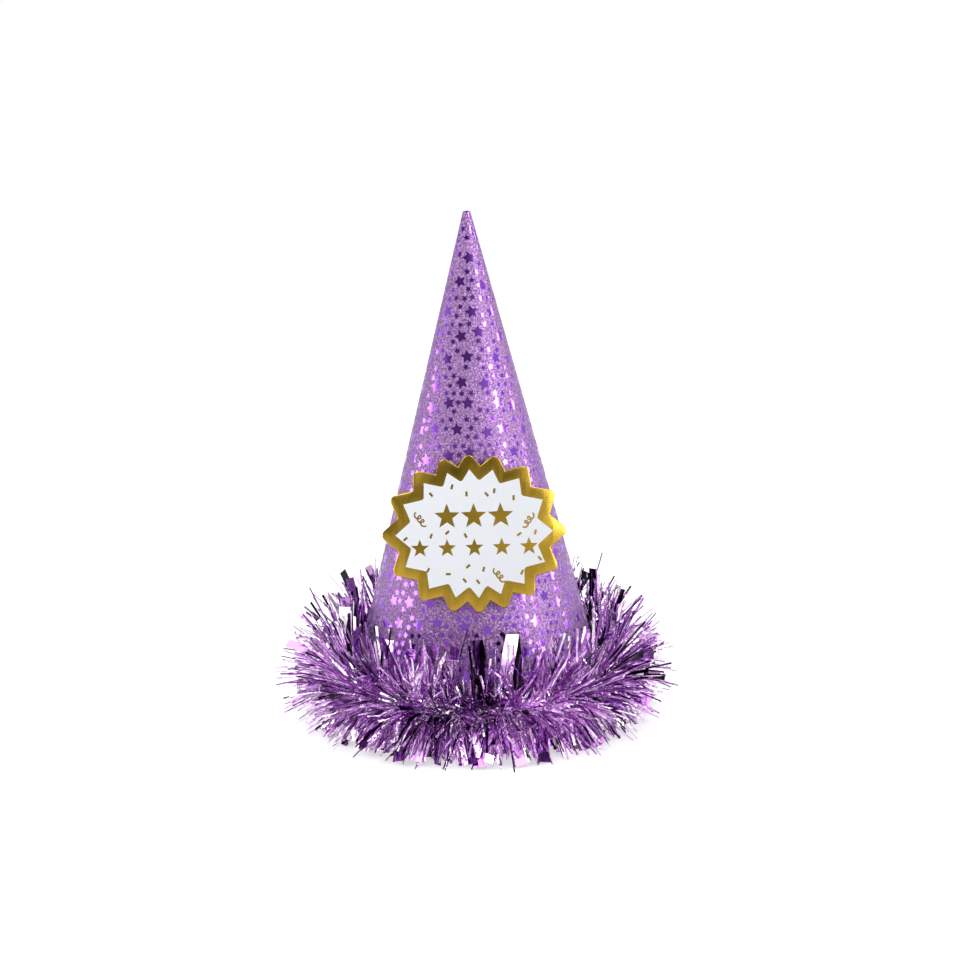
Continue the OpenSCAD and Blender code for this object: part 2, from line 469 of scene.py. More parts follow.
    def facing(
        self, tree: bpy.types.NodeTree, sheet: bpy.types.Node, stars: bpy.types.Node
    ) -> bpy.types.Node:
        """Tilts each grain of glitter its own way, on card that buckles a little.

        Args:
            tree: the foil's node tree.
            sheet: node whose output is the place on the flat sheet in mm.
            stars: node that gives 1 on a star, which stays flat.

        Returns:
            A node with the surface's direction.
        """
        glitter = add_node(
            tree,
            "ShaderNodeTexVoronoi",
            {"Vector": sheet, "Scale": 1 / self.glitter_size, "Randomness": 1.0},
            voronoi_dimensions="2D",
        )
        tilt = add_node(
            tree,
            "ShaderNodeVectorMath",
            {0: glitter.outputs["Color"], 1: (0.5, 0.5, 0.5)},
            operation="SUBTRACT",
        )
        not_star = add_node(tree, "ShaderNodeMath", {0: 1.0, 1: stars}, operation="SUBTRACT")
        tilt_size = add_node(
            tree, "ShaderNodeMath", {0: not_star, 1: self.glitter_tilt}, operation="MULTIPLY"
        )
        tilted = add_node(tree, "ShaderNodeVectorMath", {0: tilt, "Scale": tilt_size}, operation="SCALE")
        sway = add_node(
            tree,
            "ShaderNodeTexNoise",
            {"Vector": sheet, "Scale": 1 / self.buckle_size, "Detail": 1.0},
            noise_dimensions="2D",
        )
        buckle = add_node(
            tree,
            "ShaderNodeBump",
            {"Strength": 0.5, "Distance": self.buckle_depth, "Height": sway.outputs["Fac"]},
        )
        facet = add_node(tree, "ShaderNodeVectorMath", {0: buckle, 1: tilted}, operation="ADD")
        return add_node(tree, "ShaderNodeVectorMath", {0: facet}, operation="NORMALIZE")

    def material(self) -> bpy.types.Material:
        """Builds the finish.

        Returns:
            The material.
        """
        material, tree = new_material("star_foil_on_card")
        sheet = self.sheet_place(tree)
        stars = self.star_mask(tree, sheet)
        ground = self.ground_tone(tree, sheet)
        colour = add_node(
            tree, "ShaderNodeMix", {0: stars, 6: ground, 7: linear(self.star_colour)}, data_type="RGBA"
        )
        roughness = add_node(
            tree,
            "ShaderNodeMapRange",
            {0: stars, 1: 0.0, 2: 1.0, 3: self.ground_roughness, 4: self.star_roughness},
        )
        normal = self.facing(tree, sheet, stars)
        shader = add_node(
            tree,
            "ShaderNodeBsdfPrincipled",
            {"Base Color": colour.outputs[2], "Metallic": 1.0, "Roughness": roughness, "Normal": normal},
        )
        add_node(tree, "ShaderNodeOutputMaterial", {0: shader})
        return material


@dataclass(frozen=True)
class GoldFoilCard:
    """Card laminated with gold mirror foil: warm metal with a faint orange-peel from the board."""

    colour: str = "#c8a640"
    shade: str = "#9d7b28"
    cloud: float = 14 * MM
    grain: float = 2.5 * MM
    grain_depth: float = 0.03 * MM
    roughness: tuple[float, float] = (0.2, 0.3)

    def material(self) -> bpy.types.Material:
        """Builds the finish.

        Returns:
            The material.
        """
        material, tree = new_material("gold_foil_on_card")
        spot = add_node(tree, "ShaderNodeTexCoord").outputs["Object"]
        cloud = add_node(
            tree, "ShaderNodeTexNoise", {"Vector": spot, "Scale": 1 / self.cloud, "Detail": 2.0}
        )
        tone = add_node(
            tree,
            "ShaderNodeMix",
            {0: cloud.outputs["Fac"], 6: linear(self.shade), 7: linear(self.colour)},
            data_type="RGBA",
        )
        peel = add_node(
            tree, "ShaderNodeTexNoise", {"Vector": spot, "Scale": 1 / self.grain, "Detail": 2.0}
        )
        bump = add_node(
            tree,
            "ShaderNodeBump",
            {"Strength": 0.25, "Distance": self.grain_depth, "Height": peel.outputs["Fac"]},
        )
        low, high = NOISE_RANGE
        rough = add_node(
            tree,
            "ShaderNodeMapRange",
            {0: cloud.outputs["Fac"], 1: low, 2: high, 3: self.roughness[0], 4: self.roughness[1]},
        )
        shader = add_node(
            tree,
            "ShaderNodeBsdfPrincipled",
            {"Base Color": tone.outputs[2], "Metallic": 1.0, "Roughness": rough, "Normal": bump},
        )
        add_node(tree, "ShaderNodeOutputMaterial", {0: shader})
        return material


@dataclass(frozen=True)
class CoatedSurface:
    """A plain dielectric with a fine grain: printed ink, foam or set glue.

    The grain takes the sharpness from its highlights. Grain and depth are its
    size and height in metres.
    """

    name: str
    colour: str
    second_colour: str
    roughness: float
    grain: float
    depth: float

    def material(self) -> bpy.types.Material:
        """Builds the finish.

        Returns:
            The material.
        """
        material, tree = new_material(self.name)
        spot = add_node(tree, "ShaderNodeTexCoord").outputs["Object"]
        grain = add_node(
            tree,
            "ShaderNodeTexNoise",
            {"Vector": spot, "Scale": 1 / self.grain, "Detail": 4.0, "Roughness": 0.6},
        )
        tone = add_node(
            tree,
            "ShaderNodeMix",
            {0: grain.outputs["Fac"], 6: linear(self.colour), 7: linear(self.second_colour)},
            data_type="RGBA",
        )
        bump = add_node(
            tree,
            "ShaderNodeBump",
            {"Strength": 0.4, "Distance": self.depth, "Height": grain.outputs["Fac"]},
        )
        shader = add_node(
            tree,
            "ShaderNodeBsdfPrincipled",
            {"Base Color": tone.outputs[2], "Roughness": self.roughness, "Normal": bump},
        )
        add_node(tree, "ShaderNodeOutputMaterial", {0: shader})
        return material


@dataclass(frozen=True)
class MetallisedFilm:
    """Metallised film of the garland: a thin mirror whose colour each strip carries as a tone on its points:
    the film's tint, with painted dark reflections and painted highlights.

    The film is slit and crinkled by the knife, so that each strip mirrors the
    room in short broken lines. Crinkle is the size of a fold, depth its height.
    """

    name: str
    crinkle: float
    depth: float
    roughness: float = 0.1
    # The row's ends are painted light: near-black at 0 stands for film mirroring a dark room, white at 1 for
    # a highlight; the purples between are the film's tints.
    tones: tuple[tuple[float, str], ...] = (
        (0.0, "#1b151d"),
        (0.12, "#8c54a4"),
        (0.34, "#cc9cda"),
        (0.58, "#e6c8ec"),
        (0.8, "#f4e6f4"),
        (1.0, "#ffffff"),
    )

    def material(self) -> bpy.types.Material:
        """Builds the finish.

        Returns:
            The material.
        """
        material, tree = new_material(self.name)
        tone = add_node(tree, "ShaderNodeAttribute", attribute_name="film_tone")
        ramp = add_node(tree, "ShaderNodeValToRGB", {0: tone.outputs["Fac"]})
        stops = ramp.color_ramp.elements
        for place, _ in self.tones[1:-1]:
            stops.new(place)
        for stop, (_, colour) in zip(stops, self.tones, strict=True):
            stop.color = linear(colour)
        spot = add_node(tree, "ShaderNodeTexCoord").outputs["Object"]
        folds = add_node(
            tree, "ShaderNodeTexNoise", {"Vector": spot, "Scale": 1 / self.crinkle, "Detail": 2.0}
        )
        bump = add_node(
            tree,
            "ShaderNodeBump",
            {"Strength": 0.6, "Distance": self.depth, "Height": folds.outputs["Fac"]},
        )
        shader = add_node(
            tree,
            "ShaderNodeBsdfPrincipled",
            {"Base Color": ramp, "Metallic": 1.0, "Roughness": self.roughness, "Normal": bump},
        )
        add_node(tree, "ShaderNodeOutputMaterial", {0: shader})
        return material


@dataclass(frozen=True)
class DrawnWire:
    """Drawn steel wire: the die's fine scratches make its grey shine streaky."""

    colour: str = "#b9babd"
    scratch: float = 0.4 * MM
    roughness: tuple[float, float] = (0.25, 0.45)

    def material(self) -> bpy.types.Material:
        """Builds the finish.

        Returns:
            The material.
        """
        material, tree = new_material("drawn_wire")
        spot = add_node(tree, "ShaderNodeTexCoord").outputs["Object"]
        lines = add_node(
            tree, "ShaderNodeTexNoise", {"Vector": spot, "Scale": 1 / self.scratch, "Detail": 2.0}
        )
        low, high = NOISE_RANGE
        rough = add_node(
            tree,
            "ShaderNodeMapRange",
            {0: lines.outputs["Fac"], 1: low, 2: high, 3: self.roughness[0], 4: self.roughness[1]},
        )
        shader = add_node(
            tree,
            "ShaderNodeBsdfPrincipled",
            {"Base Color": linear(self.colour), "Metallic": 1.0, "Roughness": rough},
        )
        add_node(tree, "ShaderNodeOutputMaterial", {0: shader})
        return material


# Badge


def rounded(corners: list[Vector], radius: float, steps: int, outer: bool) -> list[Vector]:
    """Rounds either the outer or the inner corners of an outline with arcs.

    Args:
        corners: the sharp outline, anticlockwise.
        radius: radius of the arcs.
        steps: straight pieces in each arc.
        outer: True rounds the corners that point outwards, False the others.

    Returns:
        The outline with its arcs.
    """
    points = []
    count = len(corners)
    for i, here in enumerate(corners):
        to_before = (corners[i - 1] - here).normalized()
        to_after = (corners[(i + 1) % count] - here).normalized()
        convex = to_after.cross(-to_before).z < 0
        if convex != outer:
            points.append(here)
            continue
        half = to_before.angle(to_after) / 2
        centre = here + (to_before + to_after).normalized() * radius / math.sin(half)
        start = here + to_before * radius / math.tan(half) - centre
        sweep = (math.pi - 2 * half) * (1 if convex else -1)
        for k in range(steps + 1):
            points.append(centre + Matrix.Rotation(sweep * k / steps, 3, "Z") @ start)
    return points


@dataclass
class BurstBadge:
    """The gold burst badge: a die-cut card with rounded points, bent and held on foam pads.

    Turn, crowding, crowd phase and smooth angle are in degrees.
    """

    sizes: HatSizes
    width: float = 83 * MM
    height: float = 72 * MM
    points: int = 16
    notch_share: float = 0.18
    turn: float = 1.5
    crowding: float = 8.0
    crowd_phase: float = -7.5
    point_radius: float = 2.6 * MM
    point_steps: int = 6
    border: float = 4.7 * MM
    inner_radius: float = 1.2 * MM
    inner_steps: int = 4
    thickness: float = 1 * MM
    print_depth: float = 0.2 * MM
    pad_thickness: float = 1.6 * MM
    bend_radius: float = 110 * MM
    centre_height: float = 93.5 * MM
    edge_round: float = 0.35 * MM
    edge_steps: int = 3
    slice_width: float = 2 * MM
    smooth_angle: float = 40.0

    def corners(self) -> list[Vector]:
        """Lists the outline's points and notches, as a flat drawing.

        Returns:
            The corners, anticlockwise from the right.
        """
        found = []
        for i in range(2 * self.points):
            share = 1 if i % 2 == 0 else 1 - self.notch_share
            step = math.pi / self.points * i
            crowd = self.crowding * math.sin(2 * step + math.radians(self.crowd_phase))
            angle = step + math.radians(self.turn + crowd)
            across, up = math.cos(angle), math.sin(angle)
            found.append(Vector((share * self.width / 2 * across, share * self.height / 2 * up, 0)))
        return found

    def field_corners(self) -> list[Vector]:
        """Moves the outline in by the border, for the white field.

        Returns:
            The field's corners, in the outline's order.
        """
        outline = self.corners()
        count = len(outline)
        moved = []
        for i in range(count):
            before, here, after = outline[i - 1], outline[i], outline[(i + 1) % count]
            one, two = (here - before).normalized(), (after - here).normalized()
            in_one, in_two = Vector((-one.y, one.x, 0)), Vector((-two.y, two.x, 0))
            bisector = (in_one + in_two).normalized()
            moved.append(here + bisector * self.border / bisector.dot(in_one))
        return moved

    def plate(self, name: str, corners: list[Vector], top: float, bottom: float) -> bpy.types.Object:
        """Makes a flat plate of an outline between two heights.

        Args:
            name: the object's name.
            corners: the outline, anticlockwise.
            top: height of the upper face.
            bottom: height of the lower face.

        Returns:
            The plate, in object mode.
        """
        deselect_all()
        bpy.ops.mesh.primitive_circle_add(vertices=len(corners), radius=1, fill_type="NGON")
        plate = bpy.context.object
        plate.name = name
        for vertex, corner in zip(plate.data.vertices, corners, strict=True):
            vertex.co = (corner.x, corner.y, top)
        bpy.ops.object.mode_set(mode="EDIT")
        bpy.ops.mesh.select_all(action="SELECT")
        bpy.ops.mesh.extrude_region_move(TRANSFORM_OT_translate={"value": (0, 0, bottom - top)})
        bpy.ops.mesh.select_all(action="SELECT")
        bpy.ops.mesh.normals_make_consistent(inside=False)
        bpy.ops.object.mode_set(mode="OBJECT")
        return plate

    def round_rim(self, plate: bpy.types.Object) -> None:
        """Rounds the upper outer edge, where the foil is pressed over the board.

        Args:
            plate: a plate whose upper face is at height 0.
        """
        mesh = plate.data
        for vertex in mesh.vertices:
            vertex.select = False
        for face in mesh.polygons:
            face.select = False
        for edge in mesh.edges:
            edge.select = all(abs(mesh.vertices[i].co.z) < FLAT for i in edge.vertices)
        bpy.ops.object.mode_set(mode="EDIT")
        bpy.ops.mesh.select_mode(type="EDGE")
        bpy.ops.mesh.bevel(offset=self.edge_round, segments=self.edge_steps, affect="EDGES")
        bpy.ops.object.mode_set(mode="OBJECT")

    def slice_and_bend(self, plate: bpy.types.Object) -> None:
        """Cuts a plate into upright slices and bends it round an upright cylinder.

        Args:
            plate: the plate, active in object mode.
        """
        bpy.ops.object.mode_set(mode="EDIT")
        slices = int(self.width / self.slice_width)
        for i in range(1, slices):
            bpy.ops.mesh.select_all(action="SELECT")
            bpy.ops.mesh.bisect(
                plane_co=(-self.width / 2 + i * self.slice_width, 0, 0), plane_no=(1, 0, 0)
            )
        bpy.ops.object.mode_set(mode="OBJECT")
        for vertex in plate.data.vertices:
            x = vertex.co.x
            vertex.co.z += math.sqrt(self.bend_radius**2 - x * x) - self.bend_radius

    def place(self) -> Matrix:
        """Finds where the drawing stands: on the cone's front, facing outwards.

        Returns:
            The turn and the move from the flat drawing to the hat.
        """
        foot = self.sizes.rim_radius - self.sizes.slope * self.centre_height
        face = self.pad_thickness + self.thickness
        return (
            Matrix.Translation((0, -foot, self.centre_height))
            @ Matrix.Rotation(math.radians(90) - self.sizes.half_angle, 4, "X")
            @ Matrix.Translation((0, 0, face))
        )

    def build(self) -> bpy.types.Object:
        """Builds the gold card, with a pocket for the print, and gives it its foil.

        Returns:
            The finished piece.
        """
        outline = rounded(self.corners(), self.point_radius, self.point_steps, outer=True)
        field = rounded(self.field_corners(), self.inner_radius, self.inner_steps, outer=False)
        card = self.plate("badge_gold_card", outline, 0.0, -self.thickness)
        self.round_rim(card)
        pocket = self.plate("badge_pocket", field, self.thickness, -self.print_depth)
        deselect_all()
        card.select_set(True)
        bpy.context.view_layer.objects.active = card
        cut = card.modifiers.new("field", "BOOLEAN")
        cut.operation, cut.solver, cut.object = "DIFFERENCE", "EXACT", pocket
        bpy.ops.object.modifier_apply(modifier=cut.name)
        bpy.data.objects.remove(pocket)
        self.slice_and_bend(card)
        card.data.transform(self.place())
        bpy.ops.object.shade_smooth_by_angle(angle=math.radians(self.smooth_angle))
        put_material(card, GoldFoilCard().material())
        return card


# Garland


class StripKind(Enum):
    """The two widths of film in the garland: fine strips and ribbons."""

    FINE = "fine"
    WIDE = "wide"


@dataclass(frozen=True)
class StripCut:
    """One cut of film and how it is grown.

    Width and lengths are in metres. Curl, twist, roll and sideways are the
    usual spread of those turns, in degrees. The tones are shares of the
    film's row of tones, whose near-black and white ends are painted dark
    reflection and painted highlight: the middle, its spread from strip to
    strip, and how far a strip's tone swings from root to tip, a painted
    reflection that changes along the strip.
    """

    kind: StripKind
    name: str
    count: int
    width: float
    shortest: float
    longest: float
    pieces: int
    curl: float
    twist: float
    roll: float
    sideways: float
    tone_middle: float
    tone_spread: float
    painted_reflection_swing: float
    seed: int


FINE_LONG_CUT = StripCut(
    kind=StripKind.FINE,
    name="tinsel_fine_a",
    count=1650,
    width=0.95 * MM,
    shortest=22 * MM,
    longest=30 * MM,
    pieces=4,
    curl=10,
    twist=16,
    roll=60,
    sideways=9,
    tone_middle=0.5,
    tone_spread=0.38,
    painted_reflection_swing=0.25,
    seed=11,
)
FINE_CURLED_CUT = StripCut(
    kind=StripKind.FINE,
    name="tinsel_fine_b",
    count=850,
    width=1.1 * MM,
    shortest=17 * MM,
    longest=27 * MM,
    pieces=4,
    curl=24,
    twist=34,
    roll=70,
    sideways=18,
    tone_middle=0.6,
    tone_spread=0.38,
    painted_reflection_swing=0.3,
    seed=23,
)
# Short curled strips at the core, given mostly pale to white tones: painted glints on the crumpled film.
SHORT_CUT = StripCut(
    kind=StripKind.FINE,
    name="tinsel_short",
    count=2000,
    width=0.8 * MM,
    shortest=7 * MM,
    longest=16 * MM,
    pieces=5,
    curl=80,
    twist=150,
    roll=90,
    sideways=34,
    tone_middle=0.9,
    tone_spread=0.6,
    painted_reflection_swing=0.6,
    seed=47,
)
NEEDLE_CUT = StripCut(
    kind=StripKind.FINE,
    name="tinsel_long",
    count=420,
    width=0.7 * MM,
    shortest=29 * MM,
    longest=36 * MM,
    pieces=3,
    curl=7,
    twist=12,
    roll=70,
    sideways=9,
    tone_middle=0.5,
    tone_spread=0.5,
    painted_reflection_swing=0.1,
    seed=53,
)
RIBBON_CUT = StripCut(
    kind=StripKind.WIDE,
    name="tinsel_wide",
    count=170,
    width=5.0 * MM,
    shortest=22 * MM,
    longest=29 * MM,
    pieces=8,
    curl=20,
    twist=24,
    roll=24,
    sideways=9,
    tone_middle=0.34,
    tone_spread=0.36,
    painted_reflection_swing=0.35,
    seed=31,
)


@dataclass
class Growth:
    """Where each strip starts and how it is bent: one entry a strip, angles in radians."""

    around: np.ndarray
    rise: np.ndarray
    length: np.ndarray
    width: np.ndarray
    sideways: np.ndarray
    roll: np.ndarray
    curl: np.ndarray
    twist: np.ndarray
    # tone picks each strip's colour from the film's row, whose ends are painted dark reflection and painted
    # highlight; swing shifts it from root to tip as a painted reflection.
    tone: np.ndarray
    swing: np.ndarray


@dataclass
class TinselGarland:
    """The tinsel round the foot: two twisted wires, the film wound on them, and its strips.

    Strips leave the core at a rise between lowest and highest, in degrees over
    the level, and the crowding over 1 puts more of them low. Stretch is how
    much longer one is that stands straight up. A strip on edge keeps its
    middle line above the surface by edge_lift, a share of its half width. The
    clearing is the patch before a listed ribbon, in degrees to each side
    and downwards, and in it only the share left_standing of the fine strips
    stays.
    """

    sizes: HatSizes
    film: float = 0.07 * MM
    lowest: float = -72
    highest: float = 96
    crowding: float = 1.28
    width_range: tuple[float, float] = (0.75, 1.15)
    floor_gap: float = 0.3 * MM
    edge_gap: float = 0.1 * MM
    edge_lift: float = 0.4
    reach: float = 91.5 * MM
    droop: float = 0.05
    stretch: float = 0.16
    clearing_side: float = 2.2
    clearing_rise: tuple[float, float] = (-3.0, 16.0)
    left_standing: float = 0.4
    wire_twist: float = 5 * MM
    wire_rings: int = 740
    wire_sides: int = 6
    wrap_rings: int = 420
    wrap_sides: int = 10
    wrap_inset: float = 1 * MM
    wrap_share: float = 0.93
    wrap_crease: tuple[float, float] = (0.86, 1.08)
    # The wound film's tones run from the row's near-black, a painted dark reflection, to its middle.
    wrap_tones: tuple[float, float] = (0.05, 0.6)
    wrap_seed: int = 5

    def turn(self, vectors: np.ndarray, axes: np.ndarray, angle: np.ndarray) -> np.ndarray:
        """Turns each vector about its own unit axis.

        Args:
            vectors: n vectors.
            axes: n unit axes.
            angle: n angles in radians.

        Returns:
            The turned vectors.
        """
        c, s = np.cos(angle)[:, None], np.sin(angle)[:, None]
        along = (axes * vectors).sum(1)[:, None]
        return vectors * c + np.cross(axes, vectors) * s + axes * along * (1 - c)

    def scatter(self, cut: StripCut) -> Growth:
        """Draws the strips of one cut at random, evenly round the hat.

        Args:
            cut: which strips.

        Returns:
            Their growth.
        """
        dice = np.random.RandomState(cut.seed)
        n = cut.count
        gap = self.sizes.end_gap / self.sizes.ring_radius
        share = (np.arange(n) + dice.uniform(0, 1, n)) / n
        around = math.pi + gap / 2 + (2 * math.pi - gap) * share
        lift = dice.uniform(0, 1, n) ** self.crowding
        rise = self.lowest + (self.highest - self.lowest) * lift
        length = dice.uniform(cut.shortest, cut.longest, n)
        growth = Growth(
            around=around,
            rise=np.radians(rise),
            length=length * (1 + self.stretch * np.sin(np.radians(rise))),
            width=cut.width * dice.uniform(*self.width_range, n),
            sideways=np.radians(dice.normal(0, cut.sideways, n)),
            roll=np.radians(dice.normal(0, cut.roll, n)),
            curl=np.radians(dice.normal(0, cut.curl, n)),
            twist=np.radians(dice.normal(0, cut.twist, n)),
            tone=dice.normal(cut.tone_middle, cut.tone_spread, n),
            swing=dice.normal(0, cut.painted_reflection_swing, n),
        )
        if cut.kind is StripKind.FINE:
            shown = ~self.hiding_wide(growth) | (dice.uniform(0, 1, n) < self.left_standing)
            growth = Growth(**{name: values[shown] for name, values in vars(growth).items()})
        return growth

    def hiding_wide(self, growth: Growth) -> np.ndarray:
        """Finds the strips that would stand before a wide strip that shows.

        Args:
            growth: the strips.

        Returns:
            One truth value a strip.
        """
        wide = hand_placed(WIDE_AT_FRONT)
        apart = growth.around[:, None] - wide.around[None, :]
        apart = np.abs((apart + math.pi) % (2 * math.pi) - math.pi)
        below = wide.rise[None, :] - growth.rise[:, None]
        low, high = np.radians(self.clearing_rise)
        near = apart < math.radians(self.clearing_side)
        return (near & (below > low) & (below < high)).any(1)

    def spines(self, growth: Growth, pieces: int) -> tuple[np.ndarray, np.ndarray, np.ndarray]:
        """Runs each strip out from the core, bending, twisting and drooping as film does.

        Args:
            growth: the strips.
            pieces: straight pieces in each.

        Returns:
            Middle points, width axes and face normals, each strips by sections by 3.
        """
        n = len(growth.around)
        outward = np.stack([np.sin(growth.around), -np.cos(growth.around), np.zeros(n)], 1)
        along = np.stack([np.cos(growth.around), np.sin(growth.around), np.zeros(n)], 1)
        up = np.tile([0.0, 0.0, 1.0], (n, 1))
        heading = outward * np.cos(growth.rise)[:, None] + up * np.sin(growth.rise)[:, None]
        heading = heading * np.cos(growth.sideways)[:, None] + along * np.sin(growth.sideways)[:, None]
        width = along - heading * (along * heading).sum(1)[:, None]
        width /= np.linalg.norm(width, axis=1)[:, None]
        width = self.turn(width, heading, growth.roll)
        core = outward * self.sizes.ring_radius + up * self.sizes.core_height
        point = core + heading * self.sizes.wire_radius
        step = growth.length / pieces
        points, widths, normals = [], [], []
        for k in range(pieces + 1):
            points.append(point)
            widths.append(width)
            normals.append(np.cross(heading, width))
            heading = self.turn(heading, width, growth.curl / pieces)
            heading = heading - up * self.droop * (k + 1) / pieces
            heading /= np.linalg.norm(heading, axis=1)[:, None]
            width = width - heading * (width * heading).sum(1)[:, None]
            width /= np.linalg.norm(width, axis=1)[:, None]
            width = self.turn(width, heading, growth.twist / pieces)
            point = point + heading * step[:, None]
        return np.stack(points, 1), np.stack(widths, 1), np.stack(normals, 1)

    def keep_clear(self, points: np.ndarray, widths: np.ndarray, half: np.ndarray) -> np.ndarray:
        """Lifts strips off the surface, holds them off the card and within the garland's reach.

        Args:
            points: middle points, strips by sections by 3.
            widths: width axes, the same shape.
            half: half width of each strip.

        Returns:
            The moved middle points.
        """
        core = points[:, :1]
        flat = np.linalg.norm(points[..., :2], axis=2)
        reach = (flat.max(1) - self.sizes.ring_radius) / (self.reach - self.sizes.ring_radius)
        points = core + (points - core) / np.maximum(reach, 1)[:, None, None]
        lowest = np.abs(widths[..., 2]) * half[:, None] * self.edge_lift + self.floor_gap
        points[..., 2] = np.maximum(points[..., 2], lowest)
        flat = np.linalg.norm(points[..., :2], axis=2)
        side = np.abs((widths[..., :2] * points[..., :2]).sum(2) / flat) * half[:, None]
        wall = self.sizes.wall_radius(points[..., 2]) + 2 * self.sizes.wall + side
        push = np.maximum(wall / flat, 1)
        points[..., 0] *= push
        points[..., 1] *= push
        return points

    def grow(self, name: str, growth: Growth, pieces: int) -> bpy.types.Object:
        """Makes closed, thin strips of one growth.

        Args:
            name: the piece's name.
            growth: the strips.
            pieces: straight pieces in each.

        Returns:
            One object that holds them all, with film_tone on its points.
        """
        points, widths, normals = self.spines(growth, pieces)
        half = growth.width / 2
        points = self.keep_clear(points, widths, half)
        across = widths * half[:, None, None]
        deep = normals * self.film / 2
        section = np.stack(
            [
                points + across + deep,
                points - across + deep,
                points - across - deep,
                points + across - deep,
            ],
            2,
        )
        lowest = self.edge_gap + upper_lift(section, self.film)
        section[..., 2] = np.maximum(section[..., 2], lowest)
        n = len(growth.around)
        faces = np.concatenate([lofted_faces(n, pieces + 1, 4), lofted_caps(n, pieces + 1, 4)])
        piece = mesh_piece(name, section.reshape(-1, 3), faces)
        along = np.linspace(-0.5, 0.5, pieces + 1)
        # Each strip's tone shifts from root to tip: a painted reflection that changes along the strip.
        tone = np.clip(growth.tone[:, None] + growth.swing[:, None] * along, 0, 1)
        layer = piece.data.attributes.new("film_tone", "FLOAT", "POINT")
        layer.data.foreach_set("value", np.repeat(tone.ravel(), 4).astype(np.float32))
        return piece

    def ring_place(self, around: np.ndarray) -> tuple[np.ndarray, np.ndarray]:
        """Points on the core's circle and the outward directions there.

        Args:
            around: angles from the front.

        Returns:
            The points and directions.
        """
        outward = np.stack([np.sin(around), -np.cos(around), np.zeros(len(around))], 1)
        return outward * self.sizes.ring_radius + [0, 0, self.sizes.core_height], outward

    def cord_like(
        self,
        name: str,
        offset: float,
        radius: np.ndarray | float,
        turns: float,
        phase: float,
        rings: int,
        sides: int,
        inset: float,
    ) -> bpy.types.Object:
        """Lofts a round section along the core's circle, or along a helix round it.

        Args:
            name: the piece's name.
            offset: distance of the helix from the core's middle.
            radius: the section's radius, a ring by side array or one number.
            turns: how often the helix turns.
            phase: where it starts, in radians.
            rings: sections along it.
            sides: points round the section.
            inset: how much is left off at each end.

        Returns:
            The piece.
        """
        gap = (self.sizes.end_gap / 2 + inset) / self.sizes.ring_radius
        around = math.pi + gap + (2 * math.pi - 2 * gap) * np.linspace(0, 1, rings)
        centre, outward = self.ring_place(around)
        helix = phase + 2 * math.pi * turns * np.linspace(0, 1, rings)
        up = np.array([0.0, 0.0, 1.0])
        centre = centre + offset * (outward * np.cos(helix)[:, None] + up * np.sin(helix)[:, None])
        angle = -2 * math.pi * np.arange(sides) / sides
        radial = outward[:, None] * np.cos(angle)[None, :, None] + up * np.sin(angle)[None, :, None]
        section = centre[:, None] + radial * np.broadcast_to(radius, (rings, sides))[..., None]
        faces = [*lofted_faces(1, rings, sides), *lofted_caps(1, rings, sides)]
        return mesh_piece(name, section.reshape(-1, 3), faces)

    def wires(self) -> list[bpy.types.Object]:
        """Builds the pair of twisted wires, each on a helix round the core's middle.

        Returns:
            The two pieces.
        """
        turns = 2 * math.pi * self.sizes.ring_radius / self.wire_twist
        radius = self.sizes.wire_radius / 2
        return [
            self.cord_like(
                f"core_wire_{label}", radius, radius, turns, phase, self.wire_rings, self.wire_sides, 0
            )
            for label, phase in (("a", 0.0), ("b", math.pi))
        ]

    def wrap(self) -> bpy.types.Object:
        """Builds the unslit film wound round the wires, creased by the winding.

        Returns:
            The piece, with film_tone on its points.
        """
        dice = np.random.RandomState(self.wrap_seed)
        rings, sides = self.wrap_rings, self.wrap_sides
        crease = dice.uniform(*self.wrap_crease, (rings, sides))
        radius = self.sizes.wrap_radius * crease * self.wrap_share
        piece = self.cord_like("tinsel_wrap", 0, radius, 0, 0, rings, sides, self.wrap_inset)
        tone = piece.data.attributes.new("film_tone", "FLOAT", "POINT")
        # The wound film takes tones from the darker part of the row, down to its near-black painted dark
        # reflection.
        tones = dice.uniform(*self.wrap_tones, rings * sides)
        tone.data.foreach_set("value", tones.astype(np.float32))
        return piece


def upper_lift(section: np.ndarray, film: float) -> np.ndarray:
    """Finds the lift that keeps a strip's two faces apart where it lies on the surface.

    Args:
        section: section corners, strips by sections by 4 by 3.
        film: the film's thickness.

    Returns:
        The thickness for the upper two corners of each section, and 0 for the others.
    """
    top = section[..., 2].argsort(axis=-1).argsort(axis=-1) >= 2
    return np.where(top, film, 0.0)


# Straight pieces along each listed ribbon
RIBBON_PIECES = 8

# A ribbon shows narrower than it is, because it stands at a slant: its width is this much more
RIBBON_WIDER = 1.12

# A rolled ribbon also leans to the side and twists, by these shares of its roll
LEAN_OF_ROLL = 0.9
TWIST_OF_ROLL = 0.6
